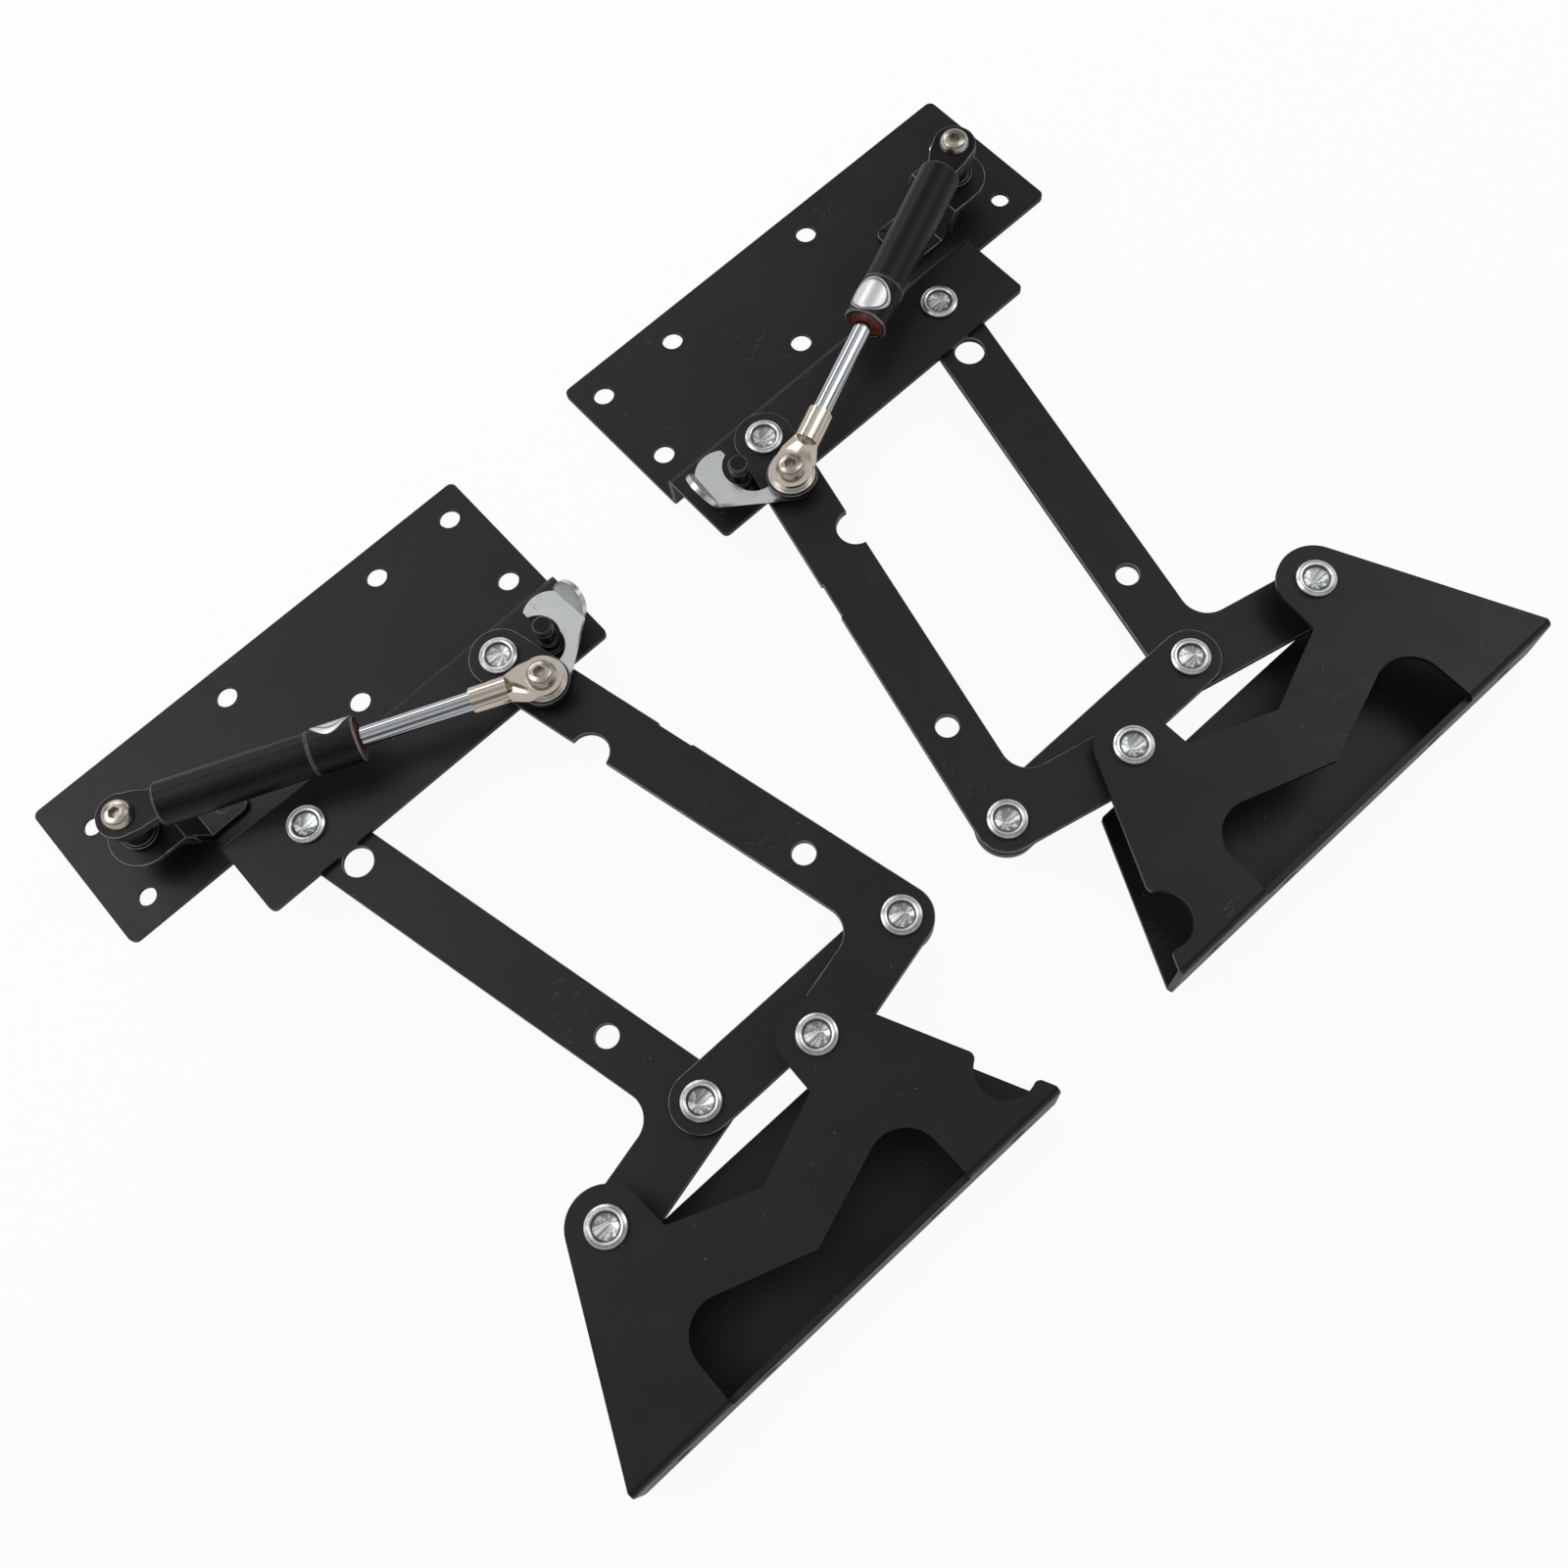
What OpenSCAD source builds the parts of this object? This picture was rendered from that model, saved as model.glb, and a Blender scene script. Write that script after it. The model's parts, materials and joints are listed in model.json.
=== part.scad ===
// Lift-top table mechanism: a left and a right unit, mirror images, lying flat with the
// linkage open. Each unit is a mounting plate, two right-angle arms, a brace, a channel
// bracket for the table top, a gas spring and a latch hook. Millimetres, floor at z = 0.
// A unit is drawn in its own u, v frame: origin on the upper arm's pivot, u toward the
// latch end of the plate, v toward the plate's far edge, and z up from the floor.

/* [Layout] */
// Distance between the two units' upper arm pivots
pair_pitch = 142.5; // [130:0.5:260]

/* [Sheet metal] */
// Thickness of the plate and the channel bracket
sheet_t = 2.5; // [2:0.1:3]
// Thickness of the arms and the brace
arm_t = 3; // [2:0.1:3.2]
// Inner radius of the sheet bends
bend_ri = 0.8; // [0.4:0.1:2]

/* [Mounting plate] */
// Length of the mounting plate
plate_len = 222; // [215:1:240]
// Width of the plate's flat mounting area
plate_w = 74.5; // [70:0.5:90]
// Plate end beyond the upper arm's pivot
plate_end = 39.5; // [34:0.5:50]
// Distance from the pivot line to the web's outer face
web_v = 17.5; // [17:0.5:22]
// Length of the raised pivot flange
flange_len = 170.5; // [150:0.5:175]
// Depth of the raised flange below the pivot line
flange_low = 19.5; // [15:0.5:24]
// Height of the raised flange's back face
flange_z = 18; // [17.9:0.05:18.1]
// Diameter of the screw holes
screw_d = 9.2; // [6:0.1:10]
// Diameter of the two end screw holes
end_screw_d = 8; // [5:0.1:9]
// Pitch of the screw holes along the plate
screw_pitch = 40; // [36:0.5:42]
// Distance between the two rows of screw holes
row_gap = 41; // [36:0.5:44]
// Distance between the two end screw holes
end_gap = 40.5; // [36:0.5:44]

/* [Linkage] */
// Distance between the two arm pivots on the plate
pivot_gap = 100; // [96:0.5:104]
// Length of an arm's long leg, pivot to pivot
leg_long = 192.5; // [180:0.5:200]
// Length of an arm's short leg, pivot to pivot
leg_short = 55; // [50:0.5:60]
// Width of the arms
arm_w = 25; // [22:0.5:26]
// Lean of the long legs in the open position, degrees
lean = 13.2; // [10:0.1:16]
// Radius of the fillet inside an arm's corner
arm_fillet = 11; // [6:0.5:16]
// Width of the brace
brace_w = 24.5; // [22:0.5:26]
// Diameter of the pivot rivets' shanks
rivet_d = 10; // [8:0.1:12]
// Diameter of the rivet heads
head_d = 15.6; // [14:0.1:17]
// Radial clearance of a pivot
run_fit = 0.05; // [0.02:0.01:0.1]
// Axial clearance between faces that turn
face_gap = 0.1; // [0.05:0.01:0.15]

/* [Channel bracket] */
// Length of the channel bracket along its web
bracket_len = 200; // [190:1:210]
// Depth of the channel over both walls
bracket_d = 32.5; // [32.4:0.1:33]
// Distance from the bracket's pivots to the web's outer face
bracket_h = 73.5; // [70:0.5:78]
// Radius of the lobes around the bracket's pivots
lobe_r = 15; // [13:0.5:16]
// Half width of the window in the front wall
window_half = 55.5; // [50:0.5:58]
// Diameter of the web's screw holes
web_screw_d = 7; // [5:0.1:8]

/* [Gas spring] */
// Diameter of the tube
tube_d = 18; // [16:0.1:18.2]
// Diameter of the rod
rod_d = 8; // [6:0.1:10]
// Tail pivot, along the plate from the upper arm's pivot
tail_u = -150.6; // [-156:0.1:-146]
// Tail pivot, above the pivot line
tail_v = 44; // [40:0.1:48]
// Height of the gas spring's axis above the floor
gas_z = 38.3; // [38.2:0.1:38.6]
// Distance from the upper arm's pivot to the rod end's pivot
crank_r = 25; // [23:0.1:27]
// Exposed length of the rod at rest
rod_out = 45; // [42:0.5:50]

/* [Latch] */
// Stop pin, along the plate from the upper arm's pivot
pin_u = 19.5; // [19.4:0.1:21]
// Stop pin, below the pivot line
pin_v = -7.5; // [-9:0.1:-6]
// Diameter of the stop pin
pin_d = 8.4; // [7:0.1:8.6]
// Thickness of the latch hook
hook_t = 2.8; // [2:0.1:2.8]

/* [Hidden] */
$fn = 64;
e = 0.01;

// Places of the six pivots, the rod end's bolt and the gas spring's tail
p1 = [0, 0];
p2 = [-pivot_gap, 0];
leg_dir = [sin(lean), -cos(lean)];
p3 = leg_long * leg_dir;
p4 = p3 + leg_short * [leg_dir.y, -leg_dir.x];
p5 = p3 + p2;
p6 = p4 + p2;
bolt_b = crank_r * leg_dir;
tail = [tail_u, tail_v];
pin = [pin_u, pin_v];

// Heights of the layers, back to front
flange_top = flange_z + sheet_t;
brace_z = flange_z;
brace_top = brace_z + arm_t;
lower_z = flange_z - 0.3 - arm_t;
lower_top = lower_z + arm_t;
upper_z = 24;
upper_top = upper_z + arm_t;
wall_z = bracket_d - sheet_t;
back_head_h = 2.2;
front_head_h = 2.4;
hook_z = upper_top + 2.7;
hook_top = hook_z + hook_t;
washer_z = 35.3;
washer_top = 36.4;
eye_half = 1.75;

// Plate edges
plate_lo = plate_end - plate_len;
plate_top_v = web_v + plate_w;
flange_lo = plate_end - flange_len;
row_hi = 78.5;
row_lo = row_hi - row_gap;
hole_u = 27.6;
end_hole = [-166.8, 30];

// The whole part is centred on the frame's origin
y_shift = -(p4.y - bracket_h + plate_top_v) / 2;

// Gas spring, measured along its axis from the tail pivot
axis_vec = bolt_b - tail;
gas_len = norm(axis_vec);
gas_turn = atan2(axis_vec.y, axis_vec.x);
tube_from = 15.3;
collar_from = 78;
tube_to = gas_len - 29 - rod_out;
sleeve_from = gas_len - 29;
sleeve_to = gas_len - 14;
collar_r = tube_d / 2 + 0.35;
sleeve_r = 5.3;
eye_r = 8.5;
bore_r = tube_d / 2 - 1.4;
tail_half = 2.5;
post_r = 6.5;
pad_z = 17;
pad_top = pad_z + sheet_t;
post_gap = 0.3;

black = [0.09, 0.09, 0.095];
zinc = [0.78, 0.80, 0.80];
steel = [0.62, 0.60, 0.57];
nickel = [0.74, 0.68, 0.60];
chrome = [0.86, 0.87, 0.88];
orange = [0.55, 0.22, 0.07];

// Where the two units stand

module left()
    translate([-pair_pitch / 2, y_shift, 0])
        children();

module right()
    mirror([1, 0, 0])
        left()
            children();

// Shared flat shapes

// A strip with round ends between two points
module capsule(a, b, w) {
    d = b - a;
    translate(a)
        circle(d = w);
    translate(b)
        circle(d = w);
    translate(a)
        rotate(atan2(d.y, d.x))
            translate([0, -w / 2])
                square([norm(d), w]);
}

// A rectangle given by two corners, with its corners rounded by exact arcs
module round_rect(lo, hi, r) {
    translate([lo.x + r, lo.y])
        square([hi.x - lo.x - 2 * r, hi.y - lo.y]);
    translate([lo.x, lo.y + r])
        square([hi.x - lo.x, hi.y - lo.y - 2 * r]);
    for (x = [lo.x + r, hi.x - r], y = [lo.y + r, hi.y - r])
        translate([x, y])
            circle(r = r);
}

module box2(lo, hi)
    translate(lo)
        square(hi - lo);

// One quarter of a bend, centred on c and opening toward the signs in q
module bend(c, q) {
    ro = bend_ri + sheet_t;
    translate(c)
        intersection() {
            difference() {
                circle(r = ro);
                circle(r = bend_ri);
            }
            translate([q.x < 0 ? -ro : 0, q.y < 0 ? -ro : 0])
                square(ro);
        }
}

// A v, z profile swept along u
module along_u(from, to)
    translate([from, 0, 0])
        rotate([90, 0, 90])
            linear_extrude(to - from)
                children();

// A u, v outline between two heights
module layer(z0, z1)
    translate([0, 0, z0])
        linear_extrude(z1 - z0)
            children();

// A rod between two heights
module post(p, r, z0, z1)
    translate([p.x, p.y, z0])
        cylinder(r = r, h = z1 - z0);

module ring(p, r, hole, z0, z1)
    difference() {
        post(p, r, z0, z1);
        post(p, hole, z0 - 1, z1 + 1);
    }

// Where the line from q touches the circle (c, r), on its left (1) or right (-1)
function touch(q, c, r, hand) =
    let (d = c - q, l = norm(d), a = atan2(d.y, d.x) + hand * asin(r / l))
        q + sqrt(l * l - r * r) * [cos(a), sin(a)];

// What a radius takes off corner p, whose edges run toward a and b, or fills in its void.
// The arc is a hair too large, so that it crosses the edges and never just touches them.
module ease(p, a, b, r) {
    da = (a - p) / norm(a - p);
    db = (b - p) / norm(b - p);
    way = (da + db) / norm(da + db);
    half = acos(da * db) / 2;
    c = p + way * r / sin(half);
    difference() {
        polygon([c, c + (p + da * r / tan(half) - c) * (r + 1) / r, p - way,
            c + (p + db * r / tan(half) - c) * (r + 1) / r]);
        translate(c)
            circle(r = r + 2 * e);
    }
}

// What a radius takes off the tip left between line ab and the circle about m
module ease_tip(a, b, m, big, r, hand) {
    d = (b - a) / norm(b - a);
    n = [d.y, -d.x];
    off = r + (m - a) * n;
    c = a + d * ((m - a) * d + hand * sqrt((big + r) * (big + r) - off * off)) - n * r;
    k = (m - c) / norm(m - c);
    difference() {
        polygon([c, c + n * (r + 1), c + (n + k) * (r + 1), c + k * (r + 1)]);
        translate(c)
            circle(r = r + 2 * e);
    }
}

// Rivets and bolts

// A turned rivet head with a stepped rim round a deep recess and a cone in the middle
module rivet_head(h) {
    r = head_d / 2;
    rotate_extrude()
        polygon([[0, 0], [r, 0], [r, h - 0.8], [r - 0.3, h - 0.4], [r - 0.8, h - 0.35],
            [r - 1.0, h - 0.05], [r - 1.5, h], [r - 2.1, h - 0.05], [r - 2.5, h - 0.4],
            [r - 2.8, h - 1.2], [r - 3.3, h - 1.3], [0, h - 1.9]]);
}

// A rivet from z0 to z1 with a front head, and a back head where one is asked for
module rivet(p, z0, z1, back) {
    post(p, rivet_d / 2, z0, z1 + e);
    translate([p.x, p.y, z1])
        rivet_head(front_head_h);
    if (back)
        translate([p.x, p.y, z0 - back_head_h])
            rotate_extrude()
                polygon([[0, 0], [head_d / 2 - 2.2, 0], [head_d / 2 - 0.6, 0.8],
                    [head_d / 2 - 0.6, back_head_h], [0, back_head_h]]);
}

// A button-head screw with a hexagon socket, head standing on z1
module button_bolt(p, r, z0, z1, head_r, head_h, key) {
    post(p, r, z0, z1 + e);
    translate([p.x, p.y, z1])
        difference() {
            rotate_extrude()
                polygon(concat([[0, 0], [head_r, 0]],
                    [for (a = [0:15:60])
                        [head_r - 3.2 + 3.2 * cos(a) - 0.25 * (a > 0 ? 1 : 0),
                            0.5 + (head_h - 0.5) * sin(a) / sin(60)]],
                    [[0, head_h]]));
            translate([0, 0, head_h - 2.4])
                cylinder(d = key / cos(30), h = 3, $fn = 6);
        }
}

// Mounting plate

module plate_profile() {
    ri = bend_ri;
    box2([web_v + ri, 0], [plate_top_v, sheet_t]);
    bend([web_v + ri, sheet_t + ri], [-1, -1]);
    box2([web_v - sheet_t, sheet_t + ri], [web_v, flange_z - ri]);
    bend([web_v - sheet_t - ri, flange_z - ri], [1, 1]);
    box2([-flange_low, flange_z], [web_v - sheet_t - ri, flange_top]);
}

module plate_outline() {
    round_rect([plate_lo, web_v], [plate_end, plate_top_v], 3);
    difference() {
        round_rect([flange_lo, -flange_low], [plate_end, web_v + 20], 2.5);
        box2([flange_lo - 1, web_v + 12], [plate_end + 1, web_v + 21]);
    }
}

module plate() {
    color(black)
        difference() {
            intersection() {
                union() {
                    along_u(flange_lo, plate_end)
                        plate_profile();
                    layer(0, sheet_t)
                        box2([plate_lo, web_v], [flange_lo + e, plate_top_v]);
                }
                layer(-1, flange_top + 1)
                    plate_outline();
            }
            for (p = [[hole_u, row_hi], [hole_u - screw_pitch, row_hi],
                    [hole_u - 3 * screw_pitch, row_hi], [hole_u, row_lo],
                    [hole_u - 2 * screw_pitch, row_lo]])
                post(p, screw_d / 2, -1, sheet_t + 1);
            for (i = [0, 1])
                post(end_hole + [0, i * end_gap], end_screw_d / 2, -1, sheet_t + 1);
            for (p = [p1, p2])
                post(p, rivet_d / 2, flange_z - 1, flange_top + 1);
            post(pin, 3, flange_z - 1, flange_top + 1);
        }
}

module plate_rivets() {
    color(zinc) {
        rivet(p1, flange_z, upper_top + face_gap, true);
        rivet(p2, lower_z - face_gap, flange_top, true);
    }
}

module pivot_bush()
    color(black)
        ring(p1, 8, rivet_d / 2, flange_top, upper_z - face_gap);

// Stud that the latch hook catches, with two grooves
module stop_pin() {
    r = pin_d / 2;
    color(black)
        translate([pin.x, pin.y, flange_z])
            rotate_extrude()
                polygon([[0, 0], [3, 0], [3, sheet_t], [r + 1.4, sheet_t],
                    [r + 1.4, sheet_t + 2.2], [r, sheet_t + 2.6], [r, 9.6], [r - 0.9, 10],
                    [r - 0.9, 15.4], [r, 15.8], [r, 18.2], [r - 0.6, 18.5], [r - 0.6, 19.2],
                    [r, 19.5], [r, 21.2], [r - 0.6, 21.7], [0, 21.7]]);
}

// Step-shaped bracket that carries the gas spring's tail
module tail_bracket() {
    half = 14;
    foot_u = tail.x + 38;
    color(black)
        difference() {
            intersection() {
                translate([0, tail.y + half, 0])
                    rotate([90, 0, 0])
                        linear_extrude(2 * half)
                            polygon([[tail.x - half, pad_z], [tail.x + 9, pad_z],
                                [tail.x + 16, sheet_t], [foot_u, sheet_t],
                                [foot_u, 2 * sheet_t], [tail.x + 19, 2 * sheet_t],
                                [tail.x + 12, pad_top], [tail.x - half, pad_top]]);
                layer(0, pad_top + 1)
                    union() {
                        translate(tail)
                            circle(r = half);
                        box2([tail.x, tail.y - half], [tail.x + 14, tail.y + half]);
                        round_rect([tail.x + 9, tail.y - half + 1], [foot_u, tail.y + half - 3],
                            4);
                    }
            }
            post([foot_u - 9, tail.y - 5], 3, sheet_t + 1.2, 3 * sheet_t);
        }
}

// Arms and brace

module arm_outline()
    difference() {
        union() {
            capsule([0, 0], [0, -leg_long], arm_w);
            capsule([0, -leg_long], [-leg_short, -leg_long], arm_w);
            translate([-arm_w / 2, -leg_long + arm_w / 2])
                difference() {
                    translate([-arm_fillet, -e])
                        square(arm_fillet + e);
                    translate([-arm_fillet, arm_fillet])
                        circle(r = arm_fillet);
                }
        }
        for (p = [[0, 0], [0, -leg_long], [-leg_short, -leg_long]])
            translate(p)
                circle(r = rivet_d / 2 + run_fit);
        translate([0, -148.3])
            circle(d = 9.4);
    }

module upper_arm()
    color(black)
        layer(upper_z, upper_top)
            rotate(lean)
                difference() {
                    arm_outline();
                    translate([0, -crank_r])
                        circle(r = 3);
                    translate([-arm_w / 2, -55])
                        circle(r = 8);
                    box2([arm_w / 2 - 0.7, -87], [arm_w, -71]);
                }

module lower_arm()
    color(black)
        translate([p2.x, p2.y, 0])
            layer(lower_z, lower_top)
                rotate(lean)
                    difference() {
                        arm_outline();
                        translate([0, -25.5])
                            circle(d = 12.6);
                    }

module brace()
    color(black)
        layer(brace_z, brace_top)
            difference() {
                capsule(p5, p3, brace_w);
                for (p = [p3, p5])
                    translate(p)
                        circle(d = rivet_d);
            }

module brace_rivets()
    color(zinc) {
        rivet(p3, brace_z, upper_top + face_gap, false);
        rivet(p5, lower_z - face_gap, brace_top, true);
    }

module brace_bush()
    color(black)
        ring(p3, 8, rivet_d / 2, brace_top, upper_z - face_gap);

// Channel bracket, drawn about the middle of its two pivots

half_len = bracket_len / 2;
lobe_x = pivot_gap / 2;
foot_r = [half_len, 2.5 - bracket_h];
flank_r = touch(foot_r, [lobe_x, 0], lobe_r, -1);
scallop_r = 11.3;
scallop = [half_len - 9, 19 - bracket_h];
inner_knee = [lobe_x - lobe_r - 0.5, -13.5];
window_c = [window_half - 14, 17.5 - bracket_h];
window_v = [0, 18 - bracket_h];
window_t = touch(window_v, window_c, 14, 1);

module channel_profile() {
    ri = bend_ri;
    lo = -bracket_h;
    box2([lo + sheet_t + ri, 0], [lobe_r + 1, sheet_t]);
    bend([lo + sheet_t + ri, sheet_t + ri], [-1, -1]);
    box2([lo, sheet_t + ri], [lo + sheet_t, wall_z - ri]);
    bend([lo + sheet_t + ri, wall_z - ri], [-1, 1]);
    box2([lo + sheet_t + ri, wall_z], [lobe_r + 1, bracket_d]);
}

module flanks(top)
    polygon(concat([[-half_len, -bracket_h], [half_len, -bracket_h]],
        [foot_r, flank_r], top, [[-flank_r.x, flank_r.y], [-foot_r.x, foot_r.y]]));

module front_outline()
    difference() {
        union() {
            flanks([[lobe_x, 0], [lobe_x - lobe_r, 0], inner_knee, [0, -27],
                [-inner_knee.x, inner_knee.y], [lobe_r - lobe_x, 0], [-lobe_x, 0]]);
            for (s = [-1, 1])
                translate([s * lobe_x, 0])
                    circle(r = lobe_r);
            for (s = [-1, 1])
                ease([s * inner_knee.x, inner_knee.y], [s * (lobe_x - lobe_r), 0], [0, -27], 2.2);
        }
        translate(scallop)
            circle(r = scallop_r);
        ease_tip(foot_r, flank_r, scallop, scallop_r, 2.5, -1);
        ease_tip(foot_r, flank_r, scallop, scallop_r, 3, 1);
        polygon([window_v, window_t, [window_half, window_c.y], [window_half, -bracket_h - 9],
            [-window_half, -bracket_h - 9], [-window_half, window_c.y],
            [-window_t.x, window_t.y]]);
        for (s = [-1, 1])
            translate([s * window_c.x, window_c.y])
                circle(r = 14);
    }

back_corner = foot_r + (flank_r - foot_r) * (-7 - foot_r.y) / (flank_r.y - foot_r.y);

module back_outline()
    difference() {
        intersection() {
            flanks([]);
            box2([-half_len, -bracket_h - 1], [half_len, -7]);
        }
        for (s = [-1, 1])
            ease([s * back_corner.x, back_corner.y], [0, -7], [s * foot_r.x, foot_r.y], 2.2);
    }

module bracket()
    color(black)
        translate([p4.x - lobe_x, p4.y, 0])
            difference() {
                intersection() {
                    along_u(-half_len, half_len)
                        channel_profile();
                    union() {
                        layer(-1, bracket_d - 4)
                            back_outline();
                        layer(bracket_d - 4, bracket_d + 1)
                            front_outline();
                    }
                }
                for (s = [-1, 1])
                    post([s * lobe_x, 0], rivet_d / 2, wall_z - 1, bracket_d + 1);
                for (u = [-2 * screw_pitch, -screw_pitch, screw_pitch, 2 * screw_pitch])
                    translate([u, -bracket_h - 1, bracket_d / 2])
                        rotate([-90, 0, 0])
                            cylinder(d = web_screw_d, h = sheet_t + 2);
            }

module bracket_rivets()
    color(zinc) {
        rivet(p4, upper_z - face_gap, bracket_d, true);
        rivet(p6, lower_z - face_gap, bracket_d, true);
    }

module short_bush()
    color(black)
        ring(p4, 8, rivet_d / 2, upper_top + face_gap, wall_z);

module long_bush()
    color(black)
        ring(p6, 8, rivet_d / 2, lower_top + face_gap, wall_z);

// Latch hook and the stack on the rod end's bolt

// The latch hook's outer edge, along which its thumb tab stands
tab_low = [35.4, -12.5];
tab_high = [34.2, 3.2];
tab_turn = atan2(tab_low.x - tab_high.x, tab_high.y - tab_low.y);
tab_half = 8.6;

module hook_outline()
    difference() {
        union() {
            translate(bolt_b)
                circle(r = 9);
            capsule(bolt_b, [27.5, -6], 14);
            translate([25.4, -3.3])
                circle(r = 11.3);
            polygon([[11.3, -31.4], tab_low, tab_high, [25, -2.5], bolt_b]);
        }
        translate([15.5, -6.7])
            circle(r = 9.8);
        translate([14.6, -11])
            circle(r = 9.6);
        box2([-10, -15.3], [18.5, 20]);
        translate(tab_low)
            rotate(tab_turn)
                box2([0, -10], [12, 40]);
        translate(bolt_b)
            circle(r = 3 + run_fit);
    }

module hook()
    color(zinc) {
        layer(hook_z, hook_top)
            hook_outline();
        // thumb tab, bent up along the outer edge
        translate([tab_low.x, tab_low.y, hook_z + 1])
            rotate([0, 0, tab_turn])
                translate([-1.2, tab_half + 0.6, 0])
                    rotate([0, 26, 0])
                        rotate([90, 0, 90])
                            linear_extrude(2.2)
                                difference() {
                                    union() {
                                        box2([-tab_half, 0], [tab_half, 2.6]);
                                        translate([0, 2.6])
                                            circle(r = tab_half);
                                    }
                                    box2([-tab_half - 1, -tab_half], [tab_half + 1, 0]);
                                }
    }

module hook_sleeve()
    color(black)
        ring(bolt_b, 8, 3, upper_top, hook_z - face_gap);

module hook_spacer()
    color(black)
        ring(bolt_b, 10.4, 3, hook_top + face_gap, washer_z);

module eye_washer()
    color(zinc)
        ring(bolt_b, 9.6, 3, washer_z, washer_top);

module eye_bolt()
    color(steel)
        button_bolt(bolt_b, 3, upper_z, gas_z + eye_half + face_gap, 6.2, 3.6, 4.6);

// Gas spring, drawn along x from the tail pivot with its axis on z = 0

module gas_frame()
    translate([tail.x, tail.y, gas_z])
        rotate(gas_turn)
            children();

module round_x(r, from, to)
    translate([from, 0, 0])
        rotate([0, 90, 0])
            cylinder(r = r, h = to - from);

module rod()
    color(chrome)
        gas_frame()
            round_x(rod_d / 2, tube_to - 40, sleeve_to - 6);

module rod_end()
    color(nickel)
        gas_frame()
            difference() {
                union() {
                    round_x(sleeve_r - 0.5, sleeve_from, sleeve_from + 1);
                    round_x(sleeve_r, sleeve_from + 0.5, sleeve_to);
                    translate([sleeve_to - e, 0, 0])
                        rotate([0, 90, 0])
                            cylinder(r1 = sleeve_r, r2 = eye_half + 0.2, h = 2.2);
                    translate([gas_len, 0, -eye_half])
                        cylinder(r = eye_r, h = 2 * eye_half);
                    translate([0, 0, -eye_half])
                        linear_extrude(2 * eye_half)
                            polygon([[sleeve_to - 3, -4.6], [sleeve_to, -5.1],
                                [gas_len - 8, -7.4], [gas_len - 3, -7.9], [gas_len - 3, 7.9],
                                [gas_len - 8, 7.4], [sleeve_to, 5.1], [sleeve_to - 3, 4.6]]);
                }
                round_x(rod_d / 2, sleeve_from - 1, sleeve_to - 6);
                translate([gas_len, 0, -5])
                    cylinder(r = 3 + run_fit, h = 10);
            }

module piston()
    color(steel)
        gas_frame()
            difference() {
                round_x(bore_r - run_fit, tube_to - 39, tube_to - 32);
                round_x(rod_d / 2, tube_to - 50, tube_to);
            }

module tube()
    color(black)
        gas_frame()
            difference() {
                union() {
                    round_x(tube_d / 2 - 0.8, tube_from, tube_from + 1);
                    round_x(tube_d / 2, tube_from + 0.8, collar_from - 0.8);
                    round_x(tube_d / 2 - 0.5, collar_from - 1, collar_from);
                    round_x(collar_r, collar_from, tube_to - 0.5);
                    round_x(collar_r - 0.5, tube_to - 1, tube_to);
                }
                round_x(bore_r, tube_from + 4, tube_to + 1);
            }

module gland()
    color(black)
        gas_frame()
            difference() {
                round_x(bore_r, tube_to - 12, tube_to - 2.5);
                round_x(rod_d / 2 + run_fit, tube_to - 20, tube_to);
            }

module wiper()
    color(orange)
        gas_frame()
            difference() {
                round_x(bore_r, tube_to - 2.5, tube_to - 0.8);
                round_x(rod_d / 2 + run_fit, tube_to - 20, tube_to + 1);
            }

// A round blank sticker wrapped on the collar, turned by an angle about the axis
module label(turn)
    color([0.85, 0.85, 0.86])
        gas_frame()
            rotate([turn, 0, 0])
                intersection() {
                    difference() {
                        round_x(collar_r + 0.15, collar_from, tube_to);
                        round_x(collar_r, collar_from - 1, tube_to + 1);
                    }
                    translate([(collar_from + tube_to) / 2, 0, 0])
                        cylinder(r = 8.3, h = tube_d);
                }

module tail_eye()
    color(black)
        gas_frame()
            difference() {
                union() {
                    translate([0, 0, -tail_half])
                        cylinder(r = 9.2, h = 2 * tail_half);
                    translate([0, 0, -tail_half])
                        linear_extrude(2 * tail_half)
                            polygon([[2, -8.9], [7, -8.4], [tube_from, -6], [tube_from, 6], [7, 8.4],
                                [2, 8.9]]);
                }
                translate([0, 0, -9])
                    cylinder(r = 3, h = 20);
            }

module tail_post()
    color(black)
        difference() {
            union() {
                post(tail, post_r, pad_top + post_gap, gas_z - tail_half);
                post(tail, post_r + 1.5, pad_top + post_gap, pad_top + 3);
            }
            post(tail, 3, pad_top - 1, gas_z);
        }

module tail_bolt()
    color(steel)
        button_bolt(tail, 3, pad_top + post_gap, gas_z + tail_half, 6.4, 3.6, 4.6);

// Pieces of the left unit

left() plate();  // plate_left
left() plate_rivets();  // plate_rivets_left
left() pivot_bush();  // pivot_bush_left
left() stop_pin();  // stop_pin_left
left() tail_bracket();  // tail_bracket_left
left() upper_arm();  // upper_arm_left
left() hook_sleeve();  // hook_sleeve_left
left() hook_spacer();  // hook_spacer_left
left() eye_washer();  // eye_washer_left
left() eye_bolt();  // eye_bolt_left
left() hook();  // hook_left
left() lower_arm();  // lower_arm_left
left() brace();  // brace_left
left() brace_rivets();  // brace_rivets_left
left() brace_bush();  // brace_bush_left
left() bracket();  // bracket_left
left() bracket_rivets();  // bracket_rivets_left
left() short_bush();  // short_bush_left
left() long_bush();  // long_bush_left
left() rod();  // rod_left
left() rod_end();  // rod_end_left
left() piston();  // piston_left
left() tube();  // tube_left
left() gland();  // gland_left
left() wiper();  // wiper_left
left() label(-72);  // label_left
left() tail_eye();  // tail_eye_left
left() tail_post();  // tail_post_left
left() tail_bolt();  // tail_bolt_left

// Pieces of the right unit

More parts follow.
